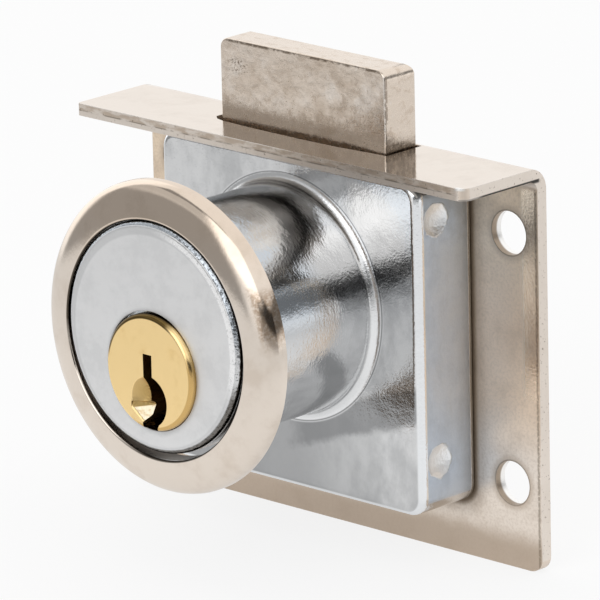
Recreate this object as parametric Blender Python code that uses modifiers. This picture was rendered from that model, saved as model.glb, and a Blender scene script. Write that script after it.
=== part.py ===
"""Deadbolt lock for a drawer front or a cupboard door.

A cast case with its barrel stands on a stamped steel plate.
A brass plug in the barrel carries a row of pins and turns a cam.
The cam's pin lifts and drops the bolt through the plate's flange.
A loose rosette ring covers the edge of the bore in the wood.
All sizes are in metres, with +Z up and the key side facing -Y.
"""

import math

import bmesh
import bpy
from mathutils import Matrix

# Gaps and mesh settings
CLEARANCE = 0.0003
OVERRUN = 0.0010
MERGE_DISTANCE = 0.000001
FLAT_ANGLE = math.radians(0.5)
SHARP_ANGLE = math.radians(35)
ROUND_STEPS = 56
SMALL_STEPS = 20
PIN_STEPS = 12
CORNER_STEPS = 4
EDGE_STEPS = 3
CHAMFER_STEPS = 1

# Deadbolt: a plated block, with a thinner tail that the cam drives
BOLT_WIDTH = 0.02115
BOLT_THICKNESS = 0.00412
BOLT_PROJECTION = 0.0079
BOLT_TRAVEL = 0.0080
BOLT_OFFSET = 0.00042
BOLT_REAR_GAP = 0.00122
BOLT_FRONT_GAP = 0.00046
BOLT_PLAY_LEFT = 0.00095
BOLT_PLAY_RIGHT = 0.00035
BOLT_EDGE_RADIUS = 0.0010
BOLT_TAIL_THICKNESS = 0.00208
BOLT_TAIL_FOOT = 0.0020
BOLT_SLOT_PLAY = 0.00035

# Mounting plate: one sheet, bent forward at the top into a flange
SHEET = 0.0012
PLATE_WING = 0.0084
PLATE_HEIGHT = 0.0390
AXIS_TO_TOP = 0.0151
FLANGE_DEPTH = 0.0099
BEND_INNER_RADIUS = 0.0010
PLATE_CORNER_RADIUS = 0.0015
FLANGE_LEFT_CORNER_RADIUS = 0.00035
FLANGE_RIGHT_CORNER_RADIUS = 0.0010
SCREW_HOLE_RADIUS = 0.0021
SCREW_FROM_CASE = 0.0048
SCREW_BELOW_TOP = 0.0068
SCREW_SPACING = 0.02405

# Lock case: one casting with the barrel, open at the back
CASE_HEIGHT = 0.0322
CASE_SIDE_BLOCK = 0.00515
CASE_WALL = 0.0015
CASE_RIB = 0.0012
CASE_CORNER_RADIUS = 0.0019
CASE_FRONT_RADIUS = 0.0008
CASE_REAR_CHAMFER = 0.0008
STUD_BLOCK = 0.0075
STUD_INSET = 0.0027
STUD_RADIUS = 0.0014
STUD_HEAD_RADIUS = 0.0022
STUD_HEAD_THICKNESS = 0.0006
DIMPLE_SPHERE_RADIUS = 0.0032
DIMPLE_DEPTH = 0.00045
DIMPLE_BEHIND_FRONT = 0.0026
DIMPLE_BELOW_TOP = 0.0039
DIMPLE_ABOVE_BOTTOM = 0.0051

# Barrel
BARREL_RADIUS = 0.0110
BARREL_LENGTH = 0.0181
BARREL_FACE_RADIUS = 0.0005
BARREL_ROOT_FILLET = 0.0009

# Key plug
PLUG_DROP = 0.0032
PLUG_RADIUS = 0.0052
PLUG_HEAD_RADIUS = 0.00555
PLUG_HEAD_LENGTH = 0.0016
PLUG_PROUD = 0.0006
PLUG_CHAMFER = 0.00045
TONGUE_LENGTH = 0.0013
TONGUE_WIDTH = 0.0060
TONGUE_HEIGHT = 0.0036

# Keyway: a straight slot that opens into a curved one
KEYWAY_SLOT_WIDTH = 0.00102
KEYWAY_SLOT_OFFSET = -0.0001
KEYWAY_SLOT_TOP = 0.00175
KEYWAY_CURVE_RADIUS = 0.00248
KEYWAY_CURVE_OFFSET = -0.00022
KEYWAY_CURVE_DROP = 0.00275
KEYWAY_CURVE_START = 75
KEYWAY_CURVE_END = -40
KEYWAY_POCKET_RADIUS = 0.0022
KEYWAY_POCKET_DEPTH = 0.0009
# Left side of the curved slot, from the plug's rim up to the straight slot,
# as shares of the curve's radius from its centre
KEYWAY_WARD_SHARES = (
    (0.46, -1.45),
    (-0.28, -1.45),
    (-0.28, -0.85),
    (0.05, -0.54),
    (0.10, -0.09),
    (-0.16, -0.09),
)

# Pins, springs and caps
PIN_PITCH = 0.00285
PIN_RADIUS = 0.00085
FIRST_PIN_SETBACK = 0.0015
LEAST_PIN_SETBACK = 0.0025
PIN_HOLE_DEPTH = 0.0052
KEYWAY_TIP_ROOM = 0.00005
PIN_TOP_INSET = 0.0001
KEY_PIN_LENGTH = 0.0042
KEY_PIN_TIP = 0.0005
KEY_PIN_LENGTH_SHARES = (1.00, 0.86, 1.10, 0.93, 1.05)
DRIVER_LENGTH = 0.0031
DRIVER_CHAMFER = 0.0001
CAP_THICKNESS = 0.0012
CAP_RECESS = 0.0001
SPRING_WIRE_RADIUS = 0.00014
SPRING_TURNS = 4
SPRING_POINTS_PER_TURN = 8

# Drive cam and its screw
CAM_WEB = 0.0011
CAM_RIM = 0.00065
CAM_PIN_RADIUS = 0.00125
CAM_PIN_REACH = 0.0002
SCREW_HEAD_RADIUS = 0.0021
SCREW_HEAD_THICKNESS = 0.0011
SCREW_SHANK_RADIUS = 0.0010
SCREW_ENGAGEMENT = 0.0010
SCREW_SLOT_WIDTH = 0.0006
SCREW_SLOT_DEPTH = 0.0005

# Rosette ring
RING_PLAY = 0.00033
RING_BAND = 0.0035
RING_HEIGHT = 0.0023
RING_RIM_HEIGHT = 0.0007
RING_SHEET = 0.0007
RING_LIP_RADIUS = 0.0004
RING_SKIRT = 0.0014
RING_SETBACK = 0.0002
RING_CROWN = 0.00045

# Worked out from the sizes above. Every position is in the lock's own axes:
# x to the right, y up and z out of the front, from the plate's front face.
bolt_front = BOLT_REAR_GAP + BOLT_THICKNESS
bolt_tail_front = BOLT_REAR_GAP + BOLT_TAIL_THICKNESS
bolt_half = BOLT_WIDTH / 2
channel_left = BOLT_OFFSET - bolt_half - BOLT_PLAY_LEFT
channel_right = BOLT_OFFSET + bolt_half + BOLT_PLAY_RIGHT
channel_front = bolt_front + BOLT_FRONT_GAP
case_half = channel_right + CASE_SIDE_BLOCK
case_front = channel_front + CASE_WALL
case_top = AXIS_TO_TOP - SHEET - CLEARANCE
case_bottom = case_top - CASE_HEIGHT
plate_half = case_half + PLATE_WING
plate_bottom = AXIS_TO_TOP - PLATE_HEIGHT
bolt_top = AXIS_TO_TOP + BOLT_PROJECTION
barrel_face = case_front + BARREL_LENGTH
plug_face = barrel_face + PLUG_PROUD
plug_head_back = plug_face - PLUG_HEAD_LENGTH
plug_bore_radius = PLUG_RADIUS + CLEARANCE
chamber_radius = PIN_RADIUS + CLEARANCE
cam_back = bolt_tail_front + CLEARANCE
cam_thickness = SCREW_HEAD_THICKNESS + CLEARANCE + CAM_WEB + TONGUE_LENGTH
cam_front = cam_back + cam_thickness
cam_pin_offset = BOLT_TRAVEL / 2
cam_radius = cam_pin_offset + CAM_PIN_RADIUS + CAM_RIM
plug_back = cam_front + CLEARANCE
screw_recess = cam_back + SCREW_HEAD_THICKNESS + CLEARANCE
bolt_head_bottom = cam_radius - PLUG_DROP + BOLT_TRAVEL + CLEARANCE
first_pin = plug_head_back - CLEARANCE - FIRST_PIN_SETBACK
pin_count = 1 + int((first_pin - plug_back - LEAST_PIN_SETBACK) / PIN_PITCH)
last_pin = first_pin - (pin_count - 1) * PIN_PITCH
keyway_end = last_pin - chamber_radius - KEYWAY_TIP_ROOM
driver_bottom = math.hypot(plug_bore_radius, PIN_RADIUS)
barrel_top = BARREL_RADIUS + PLUG_DROP
cap_top = barrel_top - CAP_RECESS
ring_inner = BARREL_RADIUS + RING_PLAY
ring_outer = ring_inner + RING_BAND
ring_front = barrel_face - RING_SETBACK
# How far a straight ratio of slide to turn strays from the pin's true path
slip_angle = math.asin(2 / math.pi)
slip_share = math.cos(slip_angle) - 1 + 2 * slip_angle / math.pi
bolt_slot_half_height = CAM_PIN_RADIUS + BOLT_SLOT_PLAY + slip_share * cam_pin_offset
bolt_slot_half_width = cam_pin_offset + CAM_PIN_RADIUS + BOLT_SLOT_PLAY
bolt_slot_centre = cam_pin_offset - PLUG_DROP
bolt_tail_bottom = bolt_slot_centre - bolt_slot_half_height - BOLT_TAIL_FOOT

QUARTER = math.pi / 2
UPRIGHT = (-QUARTER, 0, 0)
SIDEWAYS = (0, -QUARTER, 0)


def clear_scene():
    for item in list(bpy.data.objects):
        bpy.data.objects.remove(item, do_unlink=True)


def add_collection(name):
    group = bpy.data.collections.new(name)
    bpy.context.scene.collection.children.link(group)
    return group


def add_material(name, colour, roughness):
    made = bpy.data.materials.new(name)
    made.use_nodes = True
    shader = made.node_tree.nodes["Principled BSDF"]
    shader.inputs["Base Color"].default_value = (*colour, 1)
    shader.inputs["Roughness"].default_value = roughness
    shader.inputs["Metallic"].default_value = 1
    made.diffuse_color = (*colour, 1)
    return made


def add_empty(name, parent=None, location=(0, 0, 0), rotation=(0, 0, 0)):
    empty = bpy.data.objects.new(name, None)
    empty.parent = parent
    empty.location = location
    empty.rotation_euler = rotation
    parts.objects.link(empty)
    return empty


def add_part(name, mesh, parent, finish, location=(0, 0, 0), rotation=(0, 0, 0)):
    part = bpy.data.objects.new(name, mesh)
    part.parent = parent
    part.location = location
    part.rotation_euler = rotation
    mesh.name = name
    mesh.materials.clear()
    mesh.materials.append(finish)
    parts.objects.link(part)
    return part


def add_cutter(name, mesh, parent, location=(0, 0, 0), rotation=(0, 0, 0)):
    cutter = bpy.data.objects.new(name, mesh)
    cutter.parent = parent
    cutter.location = location
    cutter.rotation_euler = rotation
    cutter.hide_render = True
    cutter.display_type = "WIRE"
    cutters.objects.link(cutter)
    return cutter


def combine(part, other, operation):
    step = part.modifiers.new(other.name, "BOOLEAN")
    step.operation = operation
    step.solver = "EXACT"
    step.object = other


def cut(part, cutter):
    combine(part, cutter, "DIFFERENCE")


def join(part, addition):
    combine(part, addition, "UNION")


def evaluated_mesh(source):
    """Turn a curve, or a mesh with modifiers, into one welded mesh."""
    bpy.context.scene.collection.objects.link(source)
    depsgraph = bpy.context.evaluated_depsgraph_get()
    mesh = bpy.data.meshes.new_from_object(source.evaluated_get(depsgraph))
    bpy.data.objects.remove(source, do_unlink=True)
    work = bmesh.new()
    work.from_mesh(mesh)
    bmesh.ops.remove_doubles(work, verts=work.verts, dist=MERGE_DISTANCE)
    bmesh.ops.dissolve_limit(work, angle_limit=FLAT_ANGLE, verts=work.verts, edges=work.edges)
    bmesh.ops.recalc_face_normals(work, faces=work.faces)
    work.to_mesh(mesh)
    work.free()
    return mesh


def shade_round(mesh):
    mesh.shade_smooth()
    mesh.set_sharp_from_angle(angle=SHARP_ANGLE)
    return mesh


def outline_mesh(points, thickness):
    """A flat outline in XY, thickened to both sides of the XY plane."""
    curve = bpy.data.curves.new("outline", "CURVE")
    curve.dimensions = "2D"
    curve.fill_mode = "BOTH"
    curve.extrude = thickness / 2
    spline = curve.splines.new("POLY")
    spline.points.add(len(points) - 1)
    for point, place in zip(spline.points, points):
        point.co = (*place, 0, 1)
    spline.use_cyclic_u = True
    return evaluated_mesh(bpy.data.objects.new("outline", curve))


def turned_mesh(profile, steps):
    """A profile of radius and height, listed top to bottom, turned about Z."""
    mesh = bpy.data.meshes.new("profile")
    points = [(radius, 0, height) for radius, height in profile]
    mesh.from_pydata(points, [(i, i + 1) for i in range(len(points) - 1)], [])
    source = bpy.data.objects.new("profile", mesh)
    screw = source.modifiers.new("turn", "SCREW")
    screw.steps = steps
    screw.render_steps = steps
    screw.use_merge_vertices = True
    screw.merge_threshold = MERGE_DISTANCE
    return shade_round(evaluated_mesh(source))


def cylinder_mesh(radius, bottom, top, steps, chamfer=0):
    edges = [(radius, top), (radius, bottom)]
    if chamfer:
        edges = [
            (radius - chamfer, top),
            (radius, top - chamfer),
            (radius, bottom + chamfer),
            (radius - chamfer, bottom),
        ]
    return turned_mesh([(0, top), *edges, (0, bottom)], steps)


def box_mesh(low, high):
    centre = [(a + b) / 2 for a, b in zip(low, high)]
    size = [b - a for a, b in zip(low, high)]
    mesh = bpy.data.meshes.new("box")
    work = bmesh.new()
    place = Matrix.Translation(centre) @ Matrix.Diagonal((*size, 1))
    bmesh.ops.create_cube(work, size=1, matrix=place)
    work.to_mesh(mesh)
    work.free()
    return mesh


def sphere_mesh(radius, steps):
    mesh = bpy.data.meshes.new("sphere")
    work = bmesh.new()
    bmesh.ops.create_uvsphere(work, u_segments=steps, v_segments=steps // 2, radius=radius)
    work.to_mesh(mesh)
    work.free()
    return mesh


def arc(centre, radius, start, end, steps=CORNER_STEPS):
    """Points on an arc, both ends included, with its angles in degrees."""
    points = []
    for i in range(steps + 1):
        angle = math.radians(start + (end - start) * i / steps)
        points.append((centre[0] + radius * math.cos(angle), centre[1] + radius * math.sin(angle)))
    return points


def round_edges(mesh, radius, chosen, segments=CORNER_STEPS):
    """Round the edges whose middles pass the test."""
    work = bmesh.new()
    work.from_mesh(mesh)
    edges = [edge for edge in work.edges if chosen((edge.verts[0].co + edge.verts[1].co) / 2)]
    bmesh.ops.bevel(work, geom=edges, offset=radius, segments=segments, profile=0.5, affect="EDGES")
    work.to_mesh(mesh)
    work.free()


def near(value, target):
    return abs(value - target) < MERGE_DISTANCE


def plate_outline():
    """Section of the bent sheet as distance forward and height."""
    inner = BEND_INNER_RADIUS
    outer = inner + SHEET
    underside = AXIS_TO_TOP - SHEET
    inside = arc((inner, underside - inner), inner, 180, 90)
    outside = arc((inner, underside - inner), outer, 90, 180)
    flange = [(FLANGE_DEPTH, underside), (FLANGE_DEPTH, AXIS_TO_TOP)]
    return [(0, plate_bottom), *inside, *flange, *outside, (-SHEET, plate_bottom)]


def make_mounting_plate():
    mesh = outline_mesh(plate_outline(), 2 * plate_half)

    def bottom_corner(place):
        return near(place.y, plate_bottom) and near(abs(place.z), plate_half)

    def left_flange_corner(place):
        return near(place.x, FLANGE_DEPTH) and near(place.z, plate_half)

    def right_flange_corner(place):
        return near(place.x, FLANGE_DEPTH) and near(place.z, -plate_half)

    round_edges(mesh, PLATE_CORNER_RADIUS, bottom_corner)
    round_edges(mesh, FLANGE_LEFT_CORNER_RADIUS, left_flange_corner)
    round_edges(mesh, FLANGE_RIGHT_CORNER_RADIUS, right_flange_corner)
    plate = add_part("mounting_plate", mesh, lock_axes, nickel, rotation=SIDEWAYS)
    hole = cylinder_mesh(SCREW_HOLE_RADIUS, -SHEET - OVERRUN, OVERRUN, SMALL_STEPS)
    stud_hole = cylinder_mesh(STUD_RADIUS + CLEARANCE, -SHEET - OVERRUN, OVERRUN, SMALL_STEPS)
    upper = AXIS_TO_TOP - SCREW_BELOW_TOP
    for side in (-1, 1):
        for height in (upper, upper - SCREW_SPACING):
            across = side * (case_half + SCREW_FROM_CASE)
            cut(plate, add_cutter("screw_hole", hole, lock_axes, (across, height, 0)))
        for height in stud_heights():
            across = side * (case_half - STUD_INSET)
            cut(plate, add_cutter("stud_hole", stud_hole, lock_axes, (across, height, 0)))
    slot = box_mesh(
        (channel_left, AXIS_TO_TOP - SHEET - OVERRUN, BOLT_REAR_GAP - CLEARANCE),
        (channel_right, AXIS_TO_TOP + OVERRUN, bolt_front + CLEARANCE),
    )
    cut(plate, add_cutter("flange_slot", slot, lock_axes))
    return plate


def stud_heights():
    return (case_top - STUD_BLOCK / 2, case_bottom + STUD_BLOCK / 2)


def case_outline():
    right = case_half - CASE_CORNER_RADIUS
    top = case_top - CASE_CORNER_RADIUS
    bottom = case_bottom + CASE_CORNER_RADIUS
    return [
        *arc((right, top), CASE_CORNER_RADIUS, 0, 90),
        *arc((-right, top), CASE_CORNER_RADIUS, 90, 180),
        *arc((-right, bottom), CASE_CORNER_RADIUS, 180, 270),
        *arc((right, bottom), CASE_CORNER_RADIUS, 270, 360),
    ]


def barrel_profile():
    face = barrel_face - BARREL_FACE_RADIUS
    rim = BARREL_RADIUS - BARREL_FACE_RADIUS
    root = BARREL_RADIUS + BARREL_ROOT_FILLET
    return [
        (0, barrel_face),
        *arc((rim, face), BARREL_FACE_RADIUS, 90, 0),
        *arc((root, case_front + BARREL_ROOT_FILLET), BARREL_ROOT_FILLET, 180, 270),
        (root, case_front - CASE_WALL / 2),
        (0, case_front - CASE_WALL / 2),
    ]


def plug_bore_profile():
    """The stepped bore: a seat for the plug's head, the bore, then the cam's seat."""
    head = PLUG_HEAD_RADIUS + CLEARANCE
    seat = cam_radius + CLEARANCE
    return [
        (0, barrel_face + OVERRUN),
        (head, barrel_face + OVERRUN),
        (head, plug_head_back - CLEARANCE),
        (plug_bore_radius, plug_head_back - CLEARANCE),
        (plug_bore_radius, plug_back),
        (seat, plug_back),
        (seat, channel_front - OVERRUN),
        (0, channel_front - OVERRUN),
    ]


def stud_profile():
    """A cast stud that passes through the plate and is spun over behind it."""
    head_front = -SHEET - CLEARANCE
    head_back = head_front - STUD_HEAD_THICKNESS
    return [
        (0, CASE_WALL),
        (STUD_RADIUS, CASE_WALL),
        (STUD_RADIUS, head_front),
        (STUD_HEAD_RADIUS, head_front),
        (STUD_HEAD_RADIUS, (head_front + head_back) / 2),
        (STUD_RADIUS, head_back),
        (0, head_back),
    ]


def make_lock_case():
    depth = case_front - CLEARANCE
    mesh = outline_mesh(case_outline(), depth)

    def front_edge(place):
        return near(place.z, depth / 2)

    def rear_top_edge(place):
        return near(place.z, -depth / 2) and near(place.y, case_top)

    round_edges(mesh, CASE_FRONT_RADIUS, front_edge, EDGE_STEPS)
    round_edges(mesh, CASE_REAR_CHAMFER, rear_top_edge, CHAMFER_STEPS)
    case = add_part("lock_case", mesh, lock_axes, chrome, (0, 0, CLEARANCE + depth / 2))
    barrel = turned_mesh(barrel_profile(), ROUND_STEPS)
    join(case, add_cutter("barrel_body", barrel, lock_axes))
    stud = turned_mesh(stud_profile(), SMALL_STEPS)
    for side in (-1, 1):
        for height in stud_heights():
            across = side * (case_half - STUD_INSET)
            join(case, add_cutter("case_stud", stud, lock_axes, (across, height, 0)))
    channel = box_mesh(
        (channel_left, case_bottom + CASE_WALL, -OVERRUN),
        (channel_right, case_top + OVERRUN, channel_front),
    )
    cut(case, add_cutter("bolt_channel", channel, lock_axes))
    pocket_low = case_bottom + STUD_BLOCK
    pocket_high = case_top - STUD_BLOCK
    right_pocket = box_mesh(
        (channel_right + CASE_RIB, pocket_low, -OVERRUN),
        (case_half - CASE_WALL, pocket_high, channel_front),
    )
    left_pocket = box_mesh(
        (CASE_WALL - case_half, pocket_low, -OVERRUN),
        (channel_left - CASE_RIB, pocket_high, channel_front),
    )
    cut(case, add_cutter("right_pocket", right_pocket, lock_axes))
    cut(case, add_cutter("left_pocket", left_pocket, lock_axes))
    bore = turned_mesh(plug_bore_profile(), ROUND_STEPS)
    cut(case, add_cutter("plug_bore", bore, plug_axis))
    chamber = cylinder_mesh(chamber_radius, 0, barrel_top + OVERRUN, SMALL_STEPS)
    for forward in pin_places():
        cut(case, add_cutter("barrel_chamber", chamber, plug_axis, (0, 0, forward), UPRIGHT))
    dimple = sphere_mesh(DIMPLE_SPHERE_RADIUS, ROUND_STEPS)
    across = case_half + DIMPLE_SPHERE_RADIUS - DIMPLE_DEPTH
    depth_place = case_front - DIMPLE_BEHIND_FRONT
    for side in (-1, 1):
        for height in (case_top - DIMPLE_BELOW_TOP, case_bottom + DIMPLE_ABOVE_BOTTOM):
            place = (side * across, height, depth_place)
            cut(case, add_cutter("side_dimple", dimple, lock_axes, place))
    return case


def pin_places():
    return [first_pin - i * PIN_PITCH for i in range(pin_count)]


def bolt_outline():
    """Section of the bolt as distance forward and height."""
    radius = BOLT_EDGE_RADIUS
    return [
        (BOLT_REAR_GAP, bolt_tail_bottom),
        (bolt_tail_front, bolt_tail_bottom),
        (bolt_tail_front, bolt_head_bottom),
        (bolt_front, bolt_head_bottom),
        (bolt_front, bolt_top),
        *arc((BOLT_REAR_GAP + radius, bolt_top - radius), radius, 90, 180),
    ]


def make_deadbolt():
    mesh = outline_mesh(bolt_outline(), BOLT_WIDTH)

    def end_top_edge(place):
        return near(place.y, bolt_top) and near(abs(place.z), bolt_half)

    round_edges(mesh, BOLT_EDGE_RADIUS, end_top_edge)
    bolt = add_part("deadbolt", mesh, bolt_axis, nickel, rotation=SIDEWAYS)
    slot = box_mesh(
        (-bolt_slot_half_width, bolt_slot_centre - bolt_slot_half_height, 0),
        (bolt_slot_half_width, bolt_slot_centre + bolt_slot_half_height, cam_back),
    )
    cut(bolt, add_cutter("bolt_slot", slot, lock_axes))
    return bolt


def keyway_outline():
    """The keyway on the plug's face, from the plug's own axis."""
    left = KEYWAY_SLOT_OFFSET - KEYWAY_SLOT_WIDTH / 2
    right = KEYWAY_SLOT_OFFSET + KEYWAY_SLOT_WIDTH / 2
    centre = (KEYWAY_CURVE_OFFSET, -KEYWAY_CURVE_DROP)
    start = math.radians(KEYWAY_CURVE_START)
    slot_bottom = centre[1] + KEYWAY_POCKET_RADIUS * math.sin(start)
    ward = []
    for across, height in KEYWAY_WARD_SHARES:
        x = centre[0] + across * KEYWAY_CURVE_RADIUS
        y = centre[1] + height * KEYWAY_CURVE_RADIUS
        ward.append((x, y))
    return [
        (left, KEYWAY_SLOT_TOP),
        (right, KEYWAY_SLOT_TOP),
        *arc(centre, KEYWAY_CURVE_RADIUS, KEYWAY_CURVE_START, KEYWAY_CURVE_END, 2 * CORNER_STEPS),
        *ward,
        (left, slot_bottom),
    ]


def plug_profile():
    return [
        (0, plug_face),
        (PLUG_HEAD_RADIUS - PLUG_CHAMFER, plug_face),
        (PLUG_HEAD_RADIUS, plug_face - PLUG_CHAMFER),
        (PLUG_HEAD_RADIUS, plug_head_back),
        (PLUG_RADIUS, plug_head_back),
        (PLUG_RADIUS, plug_back),
        (0, plug_back),
    ]


def tongue_box(gap):
    """The flat tongue on the plug's back, or its slot with a gap all round."""
    half_width = TONGUE_WIDTH / 2 + gap
    half_height = TONGUE_HEIGHT / 2 + gap
    end = plug_back - TONGUE_LENGTH - gap
    return box_mesh((-half_width, -half_height, end), (half_width, half_height, plug_back + OVERRUN))


def make_key_plug():
    mesh = turned_mesh(plug_profile(), ROUND_STEPS)
    plug = add_part("key_plug", mesh, plug_axis, brass)
    join(plug, add_cutter("plug_tongue", tongue_box(0), plug_axis))
    length = plug_face - keyway_end
    keyway = outline_mesh(keyway_outline(), length + OVERRUN)
    middle = keyway_end + (length + OVERRUN) / 2
    cut(plug, add_cutter("keyway", keyway, plug_axis, (0, 0, middle)))
    pocket_back = plug_face - KEYWAY_POCKET_DEPTH
    pocket = cylinder_mesh(KEYWAY_POCKET_RADIUS, pocket_back, plug_face + OVERRUN, SMALL_STEPS)
    place = (KEYWAY_CURVE_OFFSET, -KEYWAY_CURVE_DROP, 0)
    cut(plug, add_cutter("keyway_pocket", pocket, plug_axis, place))
    hole_bottom = PLUG_RADIUS - PIN_HOLE_DEPTH
    hole = cylinder_mesh(chamber_radius, hole_bottom, PLUG_RADIUS + OVERRUN, SMALL_STEPS)
    for forward in pin_places():
        cut(plug, add_cutter("plug_chamber", hole, plug_axis, (0, 0, forward), UPRIGHT))
    thread = cylinder_mesh(
        SCREW_SHANK_RADIUS + CLEARANCE,
        plug_back - TONGUE_LENGTH - OVERRUN,
        plug_back + SCREW_ENGAGEMENT + CLEARANCE,
        SMALL_STEPS,
    )
    cut(plug, add_cutter("screw_thread", thread, plug_axis))
    return plug


def make_drive_cam():
    mesh = cylinder_mesh(cam_radius, cam_back, cam_front, ROUND_STEPS)
    cam = add_part("drive_cam", mesh, plug_axis, steel)
    pin_end = BOLT_REAR_GAP - CAM_PIN_REACH
    pin = cylinder_mesh(CAM_PIN_RADIUS, pin_end, cam_front - CAM_WEB, SMALL_STEPS)
    join(cam, add_cutter("cam_pin", pin, plug_axis, (0, cam_pin_offset, 0)))
    cut(cam, add_cutter("tongue_slot", tongue_box(CLEARANCE), plug_axis))
    recess = cylinder_mesh(SCREW_HEAD_RADIUS + CLEARANCE, cam_back - OVERRUN, screw_recess, SMALL_STEPS)
    cut(cam, add_cutter("screw_recess", recess, plug_axis))
    hole = cylinder_mesh(SCREW_SHANK_RADIUS + CLEARANCE, cam_back, cam_front, SMALL_STEPS)
    cut(cam, add_cutter("cam_hole", hole, plug_axis))
    return cam


def make_cam_screw():
    head_front = cam_back + SCREW_HEAD_THICKNESS
    end = plug_back + SCREW_ENGAGEMENT
    profile = [
        (0, end),
        (SCREW_SHANK_RADIUS, end),
        (SCREW_SHANK_RADIUS, head_front),
        (SCREW_HEAD_RADIUS, head_front),
        (SCREW_HEAD_RADIUS, cam_back),
        (0, cam_back),
    ]
    screw = add_part("cam_screw", turned_mesh(profile, SMALL_STEPS), plug_axis, steel)
    slot = box_mesh(
        (-SCREW_HEAD_RADIUS - OVERRUN, -SCREW_SLOT_WIDTH / 2, cam_back - OVERRUN),
        (SCREW_HEAD_RADIUS + OVERRUN, SCREW_SLOT_WIDTH / 2, cam_back + SCREW_SLOT_DEPTH),
    )
    cut(screw, add_cutter("driver_slot", slot, plug_axis))
    return screw


def make_key_pin(number, forward):
    """A pin with a blunt point, cut to its own step of the key."""
    length = KEY_PIN_LENGTH * KEY_PIN_LENGTH_SHARES[(number - 1) % len(KEY_PIN_LENGTH_SHARES)]
    top = PLUG_RADIUS - PIN_TOP_INSET
    tip = top - length
    profile = [
        (0, top),
        (PIN_RADIUS, top),
        (PIN_RADIUS, tip + KEY_PIN_TIP),
        (PIN_RADIUS - KEY_PIN_TIP, tip),
        (0, tip),
    ]
    mesh = turned_mesh(profile, PIN_STEPS)
    return add_part(f"key_pin_{number}", mesh, plug_axis, brass, (0, 0, forward), UPRIGHT)


def make_driver_pin(number, forward):
    top = driver_bottom + DRIVER_LENGTH
    mesh = cylinder_mesh(PIN_RADIUS, driver_bottom, top, PIN_STEPS, DRIVER_CHAMFER)
    place = (0, -PLUG_DROP, forward)
    return add_part(f"driver_pin_{number}", mesh, lock_axes, brass, place, UPRIGHT)


def make_chamber_cap(number, forward):
    mesh = cylinder_mesh(PIN_RADIUS, cap_top - CAP_THICKNESS, cap_top, PIN_STEPS)
    place = (0, -PLUG_DROP, forward)
    return add_part(f"chamber_cap_{number}", mesh, lock_axes, chrome, place, UPRIGHT)


def make_pin_spring(number, forward):
    """An open coil between the driver pin and the cap, as one round wire."""
    bottom = driver_bottom + DRIVER_LENGTH + CLEARANCE + SPRING_WIRE_RADIUS
    top = cap_top - CAP_THICKNESS - CLEARANCE - SPRING_WIRE_RADIUS
    coil_radius = PIN_RADIUS - SPRING_WIRE_RADIUS
    curve = bpy.data.curves.new("coil", "CURVE")
    curve.dimensions = "3D"
    curve.bevel_depth = SPRING_WIRE_RADIUS
    curve.bevel_resolution = 1
    curve.use_fill_caps = True
    spline = curve.splines.new("POLY")
    count = SPRING_TURNS * SPRING_POINTS_PER_TURN + 1
    spline.points.add(count - 1)
    for i, point in enumerate(spline.points):
        angle = 2 * math.pi * i / SPRING_POINTS_PER_TURN
        height = bottom + (top - bottom) * i / (count - 1)
        point.co = (coil_radius * math.cos(angle), coil_radius * math.sin(angle), height, 1)
    mesh = evaluated_mesh(bpy.data.objects.new("coil", curve))
    place = (0, -PLUG_DROP, forward)
    return add_part(f"pin_spring_{number}", shade_round(mesh), lock_axes, steel, place, UPRIGHT)


def ring_profile():
    """Outside down from the lip over the crown to the rim, then back up inside."""
    lip = RING_LIP_RADIUS
    back = ring_front - RING_HEIGHT
    rim_top = back + RING_RIM_HEIGHT
    skirt = ring_front - RING_SKIRT
    start = (ring_inner + lip, ring_front)
    end = (ring_outer, rim_top)
    inner_start = (ring_inner + RING_SHEET, ring_front - RING_SHEET)
    inner_end = (ring_outer - RING_SHEET, rim_top - RING_SHEET / 2)
    return [
        (ring_inner, skirt),
        *arc((ring_inner + lip, ring_front - lip), lip, 180, 90, EDGE_STEPS),
        *crown(start, end, RING_CROWN),
        (ring_outer, back),
        (ring_outer - RING_SHEET, back),
        *reversed([inner_start, *crown(inner_start, inner_end, RING_CROWN)]),
        (ring_inner + RING_SHEET, skirt),
        (ring_inner, skirt),
    ]


def crown(start, end, rise):
    """Points after the start, on a bulge above the straight line to the end."""
    steps = 2 * CORNER_STEPS
    run = (end[0] - start[0], end[1] - start[1])
    length = math.hypot(*run)
    points = []
    for i in range(1, steps + 1):
        share = i / steps
        lift = rise * math.sin(math.pi * share)
        x = start[0] + run[0] * share - run[1] / length * lift
        y = start[1] + run[1] * share + run[0] / length * lift
        points.append((x, y))
    return points


def make_rosette_ring():
    mesh = turned_mesh(ring_profile(), ROUND_STEPS)
    return add_part("rosette_ring", mesh, lock_axes, nickel)


clear_scene()
parts = add_collection("drawer_deadbolt_lock")
cutters = add_collection("cutters")
nickel = add_material("nickel_plate", (0.62, 0.56, 0.49), 0.22)
chrome = add_material("chrome_plate", (0.66, 0.67, 0.69), 0.12)
brass = add_material("brass", (0.78, 0.56, 0.26), 0.28)
steel = add_material("bright_steel", (0.55, 0.55, 0.56), 0.35)

lock_axes = add_empty("lock_axes", rotation=(QUARTER, 0, 0))
plug_axis = add_empty("plug_axis", lock_axes, (0, -PLUG_DROP, 0))
bolt_axis = add_empty("bolt_axis", lock_axes, (BOLT_OFFSET, 0, 0))

make_mounting_plate()
make_lock_case()
make_deadbolt()
make_key_plug()
make_drive_cam()
make_cam_screw()
for number, forward in enumerate(pin_places(), start=1):
    make_key_pin(number, forward)
    make_driver_pin(number, forward)
    make_pin_spring(number, forward)
    make_chamber_cap(number, forward)
make_rosette_ring()
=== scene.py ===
import math

import bmesh
import bpy
from mathutils import Matrix, Vector


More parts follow.
